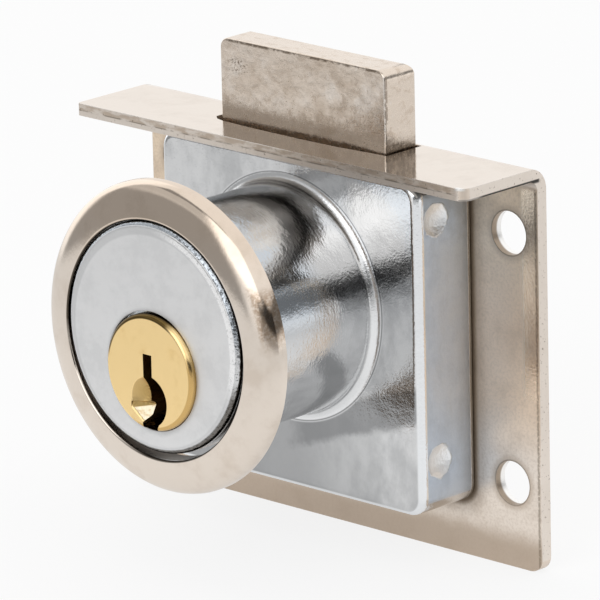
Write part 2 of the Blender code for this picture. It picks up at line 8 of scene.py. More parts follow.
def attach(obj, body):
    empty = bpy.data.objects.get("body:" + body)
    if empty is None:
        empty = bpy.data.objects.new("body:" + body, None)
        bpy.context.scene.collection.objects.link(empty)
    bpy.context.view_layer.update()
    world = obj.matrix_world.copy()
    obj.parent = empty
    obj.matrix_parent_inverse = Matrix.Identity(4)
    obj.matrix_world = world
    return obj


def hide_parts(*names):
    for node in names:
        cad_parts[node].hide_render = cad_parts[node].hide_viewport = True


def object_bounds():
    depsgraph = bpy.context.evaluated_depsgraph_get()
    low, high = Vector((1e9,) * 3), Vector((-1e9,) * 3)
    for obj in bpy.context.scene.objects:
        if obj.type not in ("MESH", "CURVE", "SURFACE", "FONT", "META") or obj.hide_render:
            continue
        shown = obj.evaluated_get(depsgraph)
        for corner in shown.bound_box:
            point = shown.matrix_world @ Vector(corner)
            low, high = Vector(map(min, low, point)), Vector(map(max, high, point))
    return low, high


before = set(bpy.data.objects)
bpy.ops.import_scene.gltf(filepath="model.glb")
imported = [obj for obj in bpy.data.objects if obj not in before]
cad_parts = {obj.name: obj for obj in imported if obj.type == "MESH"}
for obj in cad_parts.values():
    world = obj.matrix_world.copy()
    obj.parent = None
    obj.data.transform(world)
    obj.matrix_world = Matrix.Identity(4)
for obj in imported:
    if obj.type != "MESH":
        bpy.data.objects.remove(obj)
scene = bpy.context.scene
cad_box = [list(corner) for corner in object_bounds()]


# Camera
# The lock was photographed from well back with a long lens, from its right and a little above.
# Sizes are in millimetres, in the lock's own place: x right, y back, z up from the barrel's axis.
MM = 0.001
AZIMUTH, ELEVATION, ROLL = math.radians(44.194), math.radians(16.064), math.radians(-1.325)
DISTANCE = 700.21
AIM_RIGHT, AIM_UP = 2.909, 0.151
camera = bpy.data.objects.new("camera", bpy.data.cameras.new("camera"))
scene.collection.objects.link(camera)
scene.camera = camera
camera.data.lens = 451.16
camera.data.sensor_width = 36
camera.data.clip_start = 0.05
camera.data.clip_end = 20
away = Vector((
    math.sin(AZIMUTH) * math.cos(ELEVATION),
    -math.cos(AZIMUTH) * math.cos(ELEVATION),
    math.sin(ELEVATION),
))
right = Vector((math.cos(AZIMUTH), math.sin(AZIMUTH), 0))
up = away.cross(right)
aim = Vector((0, -10, 0)) + right * AIM_RIGHT + up * AIM_UP
turn = Matrix((right, up, away)).transposed().to_4x4()
camera.matrix_world = Matrix.Translation((aim + away * DISTANCE) * MM) @ turn @ Matrix.Rotation(ROLL, 4, "Z")


# Studio
# A white sweep on a table, with soft lights in front and above. Beyond the table's edge the plating
# mirrors a grey wall, bright panels and, on the right, the dark gap between them.
scene.view_settings.view_transform = "Standard"


class Value:
    """A socket in a node tree, or a sum made with it."""

    def __init__(self, nodes, socket):
        self.nodes = nodes
        self.socket = socket

    def __add__(self, other):
        return self.nodes.maths("ADD", self, other)

    def __radd__(self, other):
        return self.nodes.maths("ADD", other, self)

    def __sub__(self, other):
        return self.nodes.maths("SUBTRACT", self, other)

    def __rsub__(self, other):
        return self.nodes.maths("SUBTRACT", other, self)

    def __mul__(self, other):
        return self.nodes.maths("MULTIPLY", self, other)

    def __rmul__(self, other):
        return self.nodes.maths("MULTIPLY", other, self)

    def __abs__(self):
        return self.nodes.maths("ABSOLUTE", self)

    def ramp(self, low, high, start=0.0, end=1.0):
        """Goes smoothly from start to end while this goes from low to high."""
        sockets = {"Value": self, "From Min": low, "From Max": high, "To Min": start, "To Max": end}
        return self.nodes.add("ShaderNodeMapRange", {"interpolation_type": "SMOOTHSTEP"}, sockets)

    def fall(self, low, high):
        """One up to low, and nothing past high."""
        return self.ramp(low, high, 1.0, 0.0)

    def band(self, low, high, soft):
        """One between low and high, and nothing outside, with soft edges."""
        return self.ramp(low - soft, low + soft) * self.fall(high - soft, high + soft)


class Nodes:
    """A node tree, built by adding nodes with their settings and the values or links of their sockets."""

    def __init__(self, tree):
        self.tree = tree

    def add(self, kind, settings, sockets, output=0):
        node = self.tree.nodes.new(kind)
        for name, value in settings.items():
            setattr(node, name, value)
        for name, value in sockets.items():
            if isinstance(value, Value):
                self.tree.links.new(value.socket, node.inputs[name])
            else:
                node.inputs[name].default_value = value
        return Value(self, node.outputs[output])

    def parts(self, vector):
        node = self.add("ShaderNodeSeparateXYZ", {}, {0: vector}).socket.node
        return [Value(self, socket) for socket in node.outputs]

    def maths(self, operation, *values):
        return self.add("ShaderNodeMath", {"operation": operation}, dict(enumerate(values)))

    def distance(self, one, other):
        """The distance from a centre, from its two parts."""
        return self.maths("SQRT", one * one + other * other)

    def ray(self, kind):
        return self.add("ShaderNodeLightPath", {}, {}, f"Is {kind} Ray")

    def mixed(self, factor, first, second):
        """One shader, turning into another."""
        return self.add("ShaderNodeMixShader", {}, {0: factor, 1: first, 2: second})

    def finish(self, kind, shader):
        self.tree.links.new(shader.socket, self.tree.nodes.new(kind).inputs["Surface"])


WHITE = (1, 1, 1, 1)
DEGREES = 180 / math.pi
world = bpy.data.worlds.new("studio")
scene.world = world
world.use_nodes = True
world.node_tree.nodes.clear()
room = Nodes(world.node_tree)
east, north, height = room.parts(room.add("ShaderNodeTexCoord", {}, {}, "Generated"))
bearing = room.maths("ARCTAN2", east, 0 - north) * DEGREES
rise = room.maths("ARCSINE", height) * DEGREES
slanting = rise - 0.4 * room.maths("MINIMUM", bearing, 45)
level = 1.0
for brightness, panel in (
    (0.36, bearing.band(-80, -14, 6) * rise.band(-20, 26, 6)),
    (0.60, bearing.band(-80, -14, 6) * rise.band(26, 42, 4)),
    (0.30, bearing.band(-72, 12, 5) * rise.band(42, 55, 3)),
    (1.3, bearing.band(-125, -84, 6) * rise.band(-4, 48, 6)),
    (1.7, bearing.band(-15, 30, 6) * rise.band(6, 50, 5)),
    (0.46, bearing.band(6, 88, 6) * rise.band(-20, 0, 3)),
    (0.22, bearing.band(84, 150, 8) * rise.band(3, 22, 3)),
    (0.05, bearing.band(10, 88, 4) * slanting.band(-18, 2, 3) * rise.ramp(-4, 5)),
):
    level = level + (brightness - level) * panel
studio_light = room.add("ShaderNodeBackground", {}, {"Color": WHITE, "Strength": level})
backdrop = room.add("ShaderNodeBackground", {}, {"Color": WHITE, "Strength": 1.0})
room.finish("ShaderNodeOutputWorld", room.mixed(room.ray("Camera"), studio_light, backdrop))

TABLE_TOP = cad_box[0][2]
FLOOR_REACH = 6
corners = [(x * FLOOR_REACH, y * FLOOR_REACH, TABLE_TOP) for x, y in ((-1, -1), (1, -1), (1, 1), (-1, 1))]
mesh = bpy.data.meshes.new("floor")
mesh.from_pydata(corners, [], [(0, 1, 2, 3)])
floor = bpy.data.objects.new("floor", mesh)
scene.collection.objects.link(floor)
paper = bpy.data.materials.new("white_sweep")
paper.use_nodes = True
paper.node_tree.nodes.clear()
floor.data.materials.append(paper)
sweep = Nodes(paper.node_tree)
camera_ray, glossy_ray, through_ray = sweep.ray("Camera"), sweep.ray("Glossy"), sweep.ray("Transmission")
ground_x, ground_y, _ = sweep.parts(sweep.add("ShaderNodeTexCoord", {}, {}, "Object"))
from_lock = sweep.distance(ground_x, ground_y)
paleness = 1 - glossy_ray * from_lock.ramp(0.02, 0.13, 0.04, 0.26)
white = sweep.add("ShaderNodeEmission", {}, {"Color": WHITE, "Strength": paleness})
lit = sweep.add("ShaderNodeBsdfDiffuse", {}, {"Color": (0.72, 0.72, 0.72, 1)})
clear = sweep.add("ShaderNodeBsdfTransparent", {}, {})
table = sweep.mixed(camera_ray * 0.84 + (glossy_ray + through_ray) * 0.6, lit, white)
past_table = from_lock.ramp(0.17, 0.30) * glossy_ray
sweep.finish("ShaderNodeOutputMaterial", sweep.mixed(past_table, table, clear))


def soft_light(name, direction, reach, size, strength):
    """A square soft light that looks at the lock. The plating mirrors the studio instead."""
    lamp = bpy.data.lights.new(name, "AREA")
    lamp.size = size
    lamp.energy = strength
    light = bpy.data.objects.new(name, lamp)
    scene.collection.objects.link(light)
    light.visible_glossy = False
    towards = Vector(direction).normalized()
    light.location = towards * reach
    light.rotation_mode = "QUATERNION"
    light.rotation_quaternion = towards.to_track_quat("Z", "Y")


soft_light("front_light", (0.1, -0.9, 0.45), 0.9, 0.6, 1.5)
soft_light("top_light", (-0.2, 0.1, 1.0), 1.0, 0.9, 2.0)


# Mounting plate
# One strip of 1.2 mm steel, pierced flat, bent forward at the top and nickel plated. It carries the
# case, takes four wood screws, and lets the bolt out through a slot in its flange.
def piece_of(name, data):
    piece = bpy.data.objects.new(name, data)
    scene.collection.objects.link(piece)
    return piece


def solid(name, points, faces):
    mesh = bpy.data.meshes.new(name)
    mesh.from_pydata([Vector(point) * MM for point in points], [], faces)
    shape = bmesh.new()
    shape.from_mesh(mesh)
    bmesh.ops.recalc_face_normals(shape, faces=shape.faces)
    shape.to_mesh(mesh)
    shape.free()
    return piece_of(name, mesh)


def skin(name, loops):
    """A closed skin through loops with the same number of points."""
    count = len(loops[0])
    points = [point for loop in loops for point in loop]
    faces = [tuple(range(count)), tuple(range(len(points) - count, len(points)))]
    for row in range(len(loops) - 1):
        for i in range(count):
            j = (i + 1) % count
            faces.append((row * count + i, row * count + j, (row + 1) * count + j, (row + 1) * count + i))
    return solid(name, points, faces)


def finished_mesh(piece):
    """The plain mesh that a piece has after its modifiers."""
    bpy.context.view_layer.update()
    graph = bpy.context.evaluated_depsgraph_get()
    made = piece.evaluated_get(graph)
    return bpy.data.meshes.new_from_object(made, preserve_all_data_layers=True, depsgraph=graph)


def settle(piece):
    """Turns a piece's modifiers into its plain mesh."""
    mesh = finished_mesh(piece)
    piece.modifiers.clear()
    piece.data = mesh


def cut(piece, tool, operation="DIFFERENCE"):
    """Takes the tool's shape off the piece, or joins it on, and throws the tool away."""
    modifier = piece.modifiers.new("cut", "BOOLEAN")
    modifier.object = tool
    modifier.operation = operation
    modifier.solver = "EXACT"
    settle(piece)
    bpy.data.objects.remove(tool)


def ease_edges(piece, width, sharper_than, segments=3):
    """Rounds the edges at which a piece turns by more than this many degrees."""
    modifier = piece.modifiers.new("edges", "BEVEL")
    modifier.width = width * MM
    modifier.segments = segments
    modifier.limit_method = "ANGLE"
    modifier.angle_limit = math.radians(sharper_than)
    modifier.miter_outer = "MITER_ARC"
    modifier.use_clamp_overlap = True
    settle(piece)


def shade(piece, crease=32):
    """Smooth shading that keeps flat faces flat and creases sharp."""
    for face in piece.data.polygons:
        face.use_smooth = True
    piece.data.set_sharp_from_angle(angle=math.radians(crease))
    modifier = piece.modifiers.new("normals", "WEIGHTED_NORMAL")
    modifier.keep_sharp = True
    modifier.weight = 60
    settle(piece)


def arc(centre, radius, start, end, steps):
    angles = [math.radians(start + (end - start) * i / steps) for i in range(steps + 1)]
    return [(centre[0] + radius * math.cos(a), centre[1] + radius * math.sin(a)) for a in angles]


def disc(centre, radius, steps=64):
    return arc(centre, radius, 0, 360 * (steps - 1) / steps, steps - 1)


def prism(name, outline, low, high, axis=2):
    """An outline in two axes carried along the third."""
    loops = []
    for place in (low, high):
        loop = []
        for a, b in outline:
            point = [a, b]
            point.insert(axis, place)
            loop.append(point)
        loops.append(loop)
    return skin(name, loops)


class Finish(Nodes):
    """A metal finish, worked in millimetres of the piece's own place."""

    def __init__(self, name, colour):
        self.material = bpy.data.materials.new(name)
        self.material.use_nodes = True
        super().__init__(self.material.node_tree)
        self.metal = self.tree.nodes["Principled BSDF"]
        self.colour = (*colour, 1)
        self.set("Base Color", self.colour)
        self.set("Metallic", 1.0)
        place = self.add("ShaderNodeTexCoord", {}, {}, "Object")
        self.place = self.add("ShaderNodeVectorMath", {"operation": "SCALE"}, {0: place, "Scale": 1 / MM})
        self.axes = self.parts(self.place)

    def set(self, socket, value):
        if isinstance(value, Value):
            self.tree.links.new(value.socket, self.metal.inputs[socket])
        else:
            self.metal.inputs[socket].default_value = value

    def paint(self, mask, colour):
        """Lays a colour over what is there, where the mask is."""
        sockets = {"Factor": mask, 6: self.colour, 7: (*colour, 1)}
        self.colour = self.add("ShaderNodeMix", {"data_type": "RGBA"}, sockets, 2)
        self.set("Base Color", self.colour)

    def noise(self, size, detail=2.0, rough=0.5, stretch=(1, 1, 1), twist=0.0):
        """Noise with grains of about this size, drawn out along the axes."""
        scale = tuple(1 / (size * part) for part in stretch)
        place = self.add("ShaderNodeVectorMath", {"operation": "MULTIPLY"}, {0: self.place, 1: scale})
        sockets = {"Vector": place, "Scale": 1.0, "Detail": detail, "Roughness": rough, "Distortion": twist}
        return self.add("ShaderNodeTexNoise", {}, sockets)

    def relief(self, height):
        """Height in millimetres."""
        self.set("Normal", self.add("ShaderNodeBump", {}, {"Distance": MM, "Height": height}))


NICKEL = (0.80, 0.695, 0.595)
NICKEL_PALE = (0.88, 0.81, 0.74)
NICKEL_STAIN_AND_SHADE = (0.58, 0.47, 0.37)
NICKEL_BROWN = (0.22, 0.165, 0.115)
BRIGHT = (1.0, 0.99, 0.97)
SHEET = 1.2
HALF_WIDTH = 24.895
BOTTOM, TOP, FLANGE_FRONT = -23.9, 15.1, -9.9
LOW_CORNER, RIGHT_CORNER, LEFT_CORNER = 1.5, 1.0, 0.35
BEND_INSIDE = 1.0
BEND_MIDDLE = BEND_INSIDE + SHEET / 2
BEND_START = TOP - SHEET - BEND_INSIDE - BOTTOM
BEND_LENGTH = BEND_MIDDLE * math.pi / 2
BEND_STEPS = 16
BLANK_LENGTH = BEND_START + BEND_LENGTH - FLANGE_FRONT - BEND_INSIDE
SCREW_SIDE, SCREW_HEIGHTS, SCREW_HOLE = 21.295, (8.3, -15.75), 2.1
STUD_SIDE, STUD_HEIGHTS, STUD_HOLE = 13.795, (9.85, -14.85), 1.5
SLOT_LEFT, SLOT_RIGHT, SLOT_BACK = -11.105, 11.345, 0.92


def bend(point):
    """A point of the flat blank, in the bent plate."""
    across, along, depth = point
    if along <= BEND_START:
        return Vector((across, depth, BOTTOM + along))
    angle = (along - BEND_START) / BEND_MIDDLE
    if angle < math.pi / 2:
        reach = BEND_INSIDE + depth
        height = BOTTOM + BEND_START + reach * math.sin(angle)
        return Vector((across, reach * math.cos(angle) - BEND_INSIDE, height))
    return Vector((across, BEND_START + BEND_LENGTH - along - BEND_INSIDE, TOP - SHEET + depth))


blank_outline = [
    *arc((HALF_WIDTH - LOW_CORNER, LOW_CORNER), LOW_CORNER, -90, 0, 10),
    *arc((HALF_WIDTH - RIGHT_CORNER, BLANK_LENGTH - RIGHT_CORNER), RIGHT_CORNER, 0, 90, 3),
    *arc((LEFT_CORNER - HALF_WIDTH, BLANK_LENGTH - LEFT_CORNER), LEFT_CORNER, 90, 180, 6),
    *arc((LOW_CORNER - HALF_WIDTH, LOW_CORNER), LOW_CORNER, 180, 270, 10),
]
plate = prism("formed_plate", blank_outline, 0, SHEET)
for reach, heights, hole, steps in (
    (SCREW_SIDE, SCREW_HEIGHTS, SCREW_HOLE, 64),
    (STUD_SIDE, STUD_HEIGHTS, STUD_HOLE, 32),
):
    for height in heights:
        for side in (-reach, reach):
            cut(plate, prism("punch", disc((side, height - BOTTOM), hole, steps), -1, SHEET + 1))
slot = [(SLOT_LEFT, SLOT_BACK), (SLOT_RIGHT, SLOT_BACK), (SLOT_RIGHT, 5.62), (9.0, 5.78), (5.5, 6.12),
        (0.5, 6.24), (-5.0, 6.16), (-9.4, 5.96), (-10.4, 5.7), (SLOT_LEFT, 5.1)]
slot = [(across, BEND_START + BEND_LENGTH - BEND_INSIDE + forward) for across, forward in slot]
cut(plate, prism("slot_punch", slot, -1, SHEET + 1))
ease_edges(plate, 0.15, 40)
shape = bmesh.new()
shape.from_mesh(plate.data)
for step in range(BEND_STEPS + 1):
    place = BEND_START + BEND_LENGTH * step / BEND_STEPS
    everything = shape.verts[:] + shape.edges[:] + shape.faces[:]
    bmesh.ops.bisect_plane(shape, geom=everything, plane_co=(0, place * MM, 0), plane_no=(0, 1, 0), dist=1e-7)
for vertex in shape.verts:
    vertex.co = bend(vertex.co / MM) * MM
bmesh.ops.recalc_face_normals(shape, faces=shape.faces)
shape.to_mesh(plate.data)
shape.free()
shade(plate)

plate_nickel = Finish("plate_nickel", NICKEL)
x, y, z = plate_nickel.axes
across = abs(x)
cloud = plate_nickel.noise(4.0, 4.0, 0.6)
speck = plate_nickel.noise(0.30, 3.0, 0.65)
sheared = plate_nickel.noise(0.4, 3.0, 0.6, (3.5, 1, 1))
on_flange = z.ramp(15.02, 15.09)
on_front = y.band(-0.06, 0.06, 0.03) * z.fall(12.6, 13.2)
on_strip = on_front * x.band(22.9, 24.75, 0.25) * z.ramp(-10, -4)
on_nose = y.fall(-9.86, -9.80)
on_side = across.ramp(24.82, 24.88)
under_flange = z.ramp(13.6, 13.85) * z.fall(14.0, 14.1) * y.fall(0.1, 0.4)
plate_nickel.paint(on_front, (0.96, 0.765, 0.59))
# The front is painted lighter towards the top and lighter still low down: painted reflection of the bright
# table.
plate_nickel.paint(on_front * z.ramp(0, 9), (1.0, 0.83, 0.645))
plate_nickel.paint(on_front * z.fall(-15, -7), (1.0, 0.90, 0.80))
plate_nickel.paint(cloud.ramp(0.45, 0.75) * 0.45, NICKEL_STAIN_AND_SHADE)
plate_nickel.paint(on_front * speck.ramp(0.38, 0.72) * 0.32, NICKEL_STAIN_AND_SHADE)
# Painted shade along the bottom of the plate, where it mirrors the table in the lock's shadow.
plate_nickel.paint(on_front * (z + cloud * 2).fall(-21.0, -18.8) * 0.9, NICKEL_STAIN_AND_SHADE)

# Painted shadow round the foot of the case, and painted shade round the rims of the screw holes.
FOOT_SIDE, FOOT_BOTTOM, FOOT_CORNER = 14.6, -16.7, 1.9
beside = plate_nickel.maths("MAXIMUM", across - FOOT_SIDE, 0)
below = plate_nickel.maths("MAXIMUM", FOOT_BOTTOM - z, 0)
from_case = plate_nickel.distance(beside, below) - FOOT_CORNER
painted_shadow_by_case = on_front * (from_case.ramp(-0.1, 2.3, 0.45, 0.0) + from_case.ramp(0.1, 0.8, 0.5, 0.0))
plate_nickel.paint(painted_shadow_by_case, (0.16, 0.115, 0.075))
hole_up = abs(z - sum(SCREW_HEIGHTS) / 2) - (SCREW_HEIGHTS[0] - SCREW_HEIGHTS[1]) / 2
from_hole = plate_nickel.distance(across - SCREW_SIDE, hole_up)
# Painted shade round each screw hole's rim, darkest at the edge.
plate_nickel.paint(from_hole.ramp(2.2, 3.0, 0.6, 0.0), NICKEL_STAIN_AND_SHADE)
plate_nickel.paint(from_hole.ramp(2.16, 2.3, 0.6, 0.0), NICKEL_BROWN)
# The back of each screw hole's wall is painted near white: painted light.
in_hole = from_hole.fall(2.2, 2.3) * y.ramp(0.5, 0.75)
plate_nickel.paint(in_hole, BRIGHT)
edge_line = on_front * x.band(24.45, 24.72, 0.08) * speck.ramp(0.3, 0.5)
plate_nickel.paint(edge_line * 0.6, NICKEL_BROWN)
# The flange top and the cut edges are painted paler: painted light where they face up and out.
plate_nickel.paint(on_flange * 0.45 + (on_side + on_nose) * 0.7, NICKEL_PALE)
# Painted shade under the flange, near black towards the case.
plate_nickel.paint(under_flange * (1 - on_nose) * 0.9, (0.38, 0.35, 0.32))
plate_nickel.paint(under_flange * y.ramp(-8.3, -7.1) * 0.95, (0.05, 0.047, 0.043))
rusty = on_nose * z.band(14.5, 15.02, 0.06) * sheared.ramp(0.35, 0.6)
plate_nickel.paint(rusty * 0.8, NICKEL_STAIN_AND_SHADE)
shear_line = on_nose * z.band(14.38, 14.50, 0.05) * sheared.ramp(0.4, 0.6)
pits = (on_side + on_nose) * speck.ramp(0.62, 0.68)
plate_nickel.paint(shear_line * 0.8 + pits * 0.7, NICKEL_BROWN)
glint = x.ramp(23.6, 24.0) * y.fall(-9.75, -9.35) * z.ramp(14.8, 14.95)
plate_nickel.paint(glint * 0.9, BRIGHT)
satin = (speck * 0.5 + cloud * 0.5).ramp(0.35, 0.65, 0.32, 0.44)
gloss = cloud.ramp(0.35, 0.7, 0.07, 0.16)
plate_nickel.set("Roughness", satin + (gloss - satin) * (on_flange + on_strip * 0.8) + painted_shadow_by_case * 0.2)
waves = plate_nickel.noise(2.5, 2.0) * 0.02
grain = speck * (0.003 + 0.016 * on_strip) * (1 - on_flange)
plate_nickel.relief(waves + grain + sheared * on_nose * 0.012)
plate.data.materials.append(plate_nickel.material)
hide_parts("mounting_plate")
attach(plate, "lock_body")


# Lock case
# A zinc die casting in one piece with the barrel, polished and chrome plated, so it keeps the casting's
# soft waves. Its back is open for the bolt, and four studs hold it in the plate.
CASE_HALF, CASE_TOP, CASE_BOTTOM = 16.495, 13.6, -18.6
CASE_FRONT, CASE_BACK, CASE_FLOOR = -7.3, -0.03, -5.8
CASE_CORNER, FRONT_ROUND, REAR_ROUND = 1.9, 0.8, 0.12
REAR_CHAMFER, WALL, PARTITION = 0.8, 1.5, 1.2
POCKET_BOTTOM, POCKET_TOP = -11.1, 6.1
BARREL, BARREL_FACE, FACE_ROUND, ROOT = 11.0, -25.4, 0.65, 0.9
PLUG_AXIS = -3.2
BORE, BORE_FRONT = 5.5, -24.5
CAM_ROOM, CAM_ROOM_FRONT, CAM_ROOM_BACK = 6.2, -7.7, -4.0
HEAD_BORE, HEAD_BORE_MOUTH, HEAD_BORE_BACK = 5.69, 5.75, -24.1
HEAD_BORE_PLACE = (-0.11, PLUG_AXIS + 0.04)
PIN_ROW = [-22.6 + 2.85 * number for number in range(5)]
CHAMBER = 1.15
DIMPLE_PLACE, DIMPLE_HEIGHTS = -4.7, (9.7, -13.5)
DIMPLE_ROUND, DIMPLE_DEPTH = 3.2, 0.45


def straight(last, first, steps=48):
    """The points between the end of one corner and the start of the next."""
    (x0, z0), out = last
    (x1, z1), _ = first
    return [((x0 + (x1 - x0) * i / steps, z0 + (z1 - z0) * i / steps), out) for i in range(1, steps)]


rim = []
for centre, start in (
    ((CASE_HALF - CASE_CORNER, CASE_TOP - CASE_CORNER), 0),
    ((CASE_CORNER - CASE_HALF, CASE_TOP - CASE_CORNER), 90),
    ((CASE_CORNER - CASE_HALF, CASE_BOTTOM + CASE_CORNER), 180),
    ((CASE_HALF - CASE_CORNER, CASE_BOTTOM + CASE_CORNER), 270),
):
    corner = []
    for step in range(13):
        angle = math.radians(start + 90 * step / 12)
        out = (math.cos(angle), math.sin(angle))
        corner.append(((centre[0] + CASE_CORNER * out[0], centre[1] + CASE_CORNER * out[1]), out))
    if rim:
        rim += straight(rim[-1], corner[0])
    rim += corner
rim += straight(rim[-1], rim[0])
directions = [math.atan2(up, across) for (across, up), _ in rim]


def case_loop(inset, depth):
    return [(x - inset * ox, depth, z - inset * oz) for (x, z), (ox, oz) in rim]


def barrel_loop(radius, depth):
    return [(radius * math.cos(a), depth, radius * math.sin(a)) for a in directions]


def quarter(steps, first=0):
    """A quarter round in steps, as pairs of a slow and a quick part that go from nothing to one."""
    angles = [math.pi / 2 * step / steps for step in range(first, steps + 1)]
    return [(1 - math.cos(angle), math.sin(angle)) for angle in angles]


loops = []
for slow, quick in quarter(4):
    loops.append(case_loop(REAR_ROUND * (1 - quick), CASE_BACK - REAR_ROUND * slow))
loops.append(case_loop(0, CASE_FRONT + FRONT_ROUND))
for slow, quick in quarter(8, 1):
    loops.append(case_loop(FRONT_ROUND * slow, CASE_FRONT + FRONT_ROUND * (1 - quick)))
for slow, quick in quarter(10):
    loops.append(barrel_loop(BARREL + ROOT * (1 - quick), CASE_FRONT - ROOT * slow))
for slow, quick in quarter(8):
    loops.append(barrel_loop(BARREL - FACE_ROUND * slow, BARREL_FACE + FACE_ROUND * (1 - quick)))
case = skin("cast_case", loops)


def box(name, low, high):
    outline = [(low[0], low[2]), (high[0], low[2]), (high[0], high[2]), (low[0], high[2])]
    return prism(name, outline, low[1], high[1], axis=1)


POLE = 0.001


def turned(name, profile, centre=(0, 0), steps=96):
    """A turned solid about an axis along y; the profile is radius and y, and starts and ends at the pole."""
    loops = [[(centre[0] + radius * c, depth, centre[1] + radius * s) for c, s in disc((0, 0), 1, steps)]
             for radius, depth in profile]
    return skin(name, loops)


wedge = [(CASE_BACK - REAR_CHAMFER, CASE_TOP), (CASE_BACK, CASE_TOP - REAR_CHAMFER),
         (1, CASE_TOP - REAR_CHAMFER), (1, CASE_TOP + 1), (CASE_BACK - REAR_CHAMFER, CASE_TOP + 1)]
cut(case, prism("rear_chamfer", wedge, -20, 20, axis=0))
cut(case, box("channel", (SLOT_LEFT, CASE_FLOOR, CASE_BOTTOM + WALL), (SLOT_RIGHT, 2, CASE_TOP + 2)))
for left, right in ((SLOT_RIGHT + PARTITION, CASE_HALF - WALL), (WALL - CASE_HALF, SLOT_LEFT - PARTITION)):
    cut(case, box("pocket", (left, CASE_FLOOR, POCKET_BOTTOM), (right, 2, POCKET_TOP)))
bore = [
    (POLE, BORE_FRONT), (BORE, BORE_FRONT), (BORE, CAM_ROOM_FRONT),
    (CAM_ROOM, CAM_ROOM_FRONT), (CAM_ROOM, CAM_ROOM_BACK), (POLE, CAM_ROOM_BACK),
]
cut(case, turned("bore", bore, (0, PLUG_AXIS)))
head_bore = [
    (POLE, -26), (HEAD_BORE_MOUTH, -26), (HEAD_BORE_MOUTH, BARREL_FACE - 0.05),
    (HEAD_BORE, BARREL_FACE + 0.05), (HEAD_BORE, HEAD_BORE_BACK), (POLE, HEAD_BORE_BACK),
]
cut(case, turned("head_bore", head_bore, HEAD_BORE_PLACE, 128))
for place in PIN_ROW:
    cut(case, prism("chamber", disc((0, place), CHAMBER, 40), 0, 13, axis=2))
dish_angles = [math.radians(3.5 * i) for i in range(1, 11)]
dish = [(DIMPLE_ROUND * math.sin(a), DIMPLE_ROUND * (math.cos(a) - 1) + DIMPLE_DEPTH) for a in dish_angles]
dish = [(POLE, DIMPLE_DEPTH), *dish, (1.95, -0.6), (POLE, -0.6)]
for side in (1, -1):
    for height in DIMPLE_HEIGHTS:
        loops = [[(side * (CASE_HALF - depth), DIMPLE_PLACE + radius * c, height + radius * s)
                  for c, s in disc((0, 0), 1, 64)] for radius, depth in dish]
        cut(case, skin("dimple", loops))
shade(case, 36)

CHROME, CHROME_WORN = (0.73, 0.735, 0.74), (0.46, 0.467, 0.475)
case_chrome = Finish("case_chrome", CHROME)
x, y, z = case_chrome.axes
across = abs(x)
radius = case_chrome.distance(x, z)
peel = case_chrome.noise(0.9, 2.0, 0.5)
grit = case_chrome.noise(0.26, 3.0, 0.6)
swell = case_chrome.noise(3.4, 1.0)
smear = case_chrome.noise(2.2, 4.0, 0.65)
streak = case_chrome.noise(1.0, 3.0, 0.6, (1, 1, 5))
turning = case_chrome.noise(0.30, 2.0, 0.5, (5, 1, 5))
patchy = case_chrome.noise(5.0, 5.0, 0.65, (1, 1, 1.6))
ragged = (case_chrome.noise(1.6, 4.0, 0.7) - 0.5) * 3
on_face = y.fall(-25.38, -25.32)
on_edge = y.fall(-24.8, -24.6) * (1 - on_face)
on_barrel = y.fall(-8.5, -8.1)
on_case = 1 - on_barrel
on_root = radius.ramp(11.0, 11.15) * radius.fall(11.75, 11.9) * on_case
on_side = across.ramp(16.3, 16.47) * y.ramp(-6.5, -6.2)
on_round = y.band(-7.22, -6.32, 0.05)
on_seam = y.ramp(-0.55, -0.35)
on_front = y.band(-7.4, -7.22, 0.04) * radius.ramp(11.95, 12.2)

# The front of the case and the barrel: worn patches, painted shade low on the front, bluish reflection tones
# on the barrel, painted light at the upper right and a painted shadow under the barrel.
case_chrome.paint(patchy.ramp(0.40, 0.66) * (on_front * 0.7 + on_barrel * 0.25), CHROME_WORN)
# Painted shade on the lower front, stronger towards the left.
painted_shade_patch = (x + ragged).band(-16, 11.6, 1.0) * (z + ragged).band(-19.8, -10.2, 0.9)
toward_left = (x + ragged).ramp(0, 10, 0.85, 0.35)
case_chrome.paint(on_front * painted_shade_patch * toward_left, (0.36, 0.365, 0.37))
# The barrel is painted greyer at the upper right and bluer near the ring: painted tones against the warm
# plating it mirrors.
on_right = x.ramp(1, 5) * z.ramp(-2, 2)
case_chrome.paint(on_barrel * on_right * 0.6, (0.62, 0.635, 0.65))
by_ring = on_barrel * y.fall(-15.5, -12.5) * z.ramp(0, 3)
case_chrome.paint(by_ring * 0.85, (0.56, 0.61, 0.665))
lit_patch = (x + ragged).ramp(6.5, 9) * (z + ragged).band(4.6, 12.8, 0.8)
case_chrome.paint(on_front * lit_patch * 0.7, (0.90, 0.875, 0.85))
slanted = z + ragged * 0.5 - 0.33 * (x - 8)
shaded = (x + ragged).ramp(-1, 2) * slanted.band(-12.0, -8.6, 0.5)
case_chrome.paint(on_front * shaded * 0.75, (0.24, 0.245, 0.25))

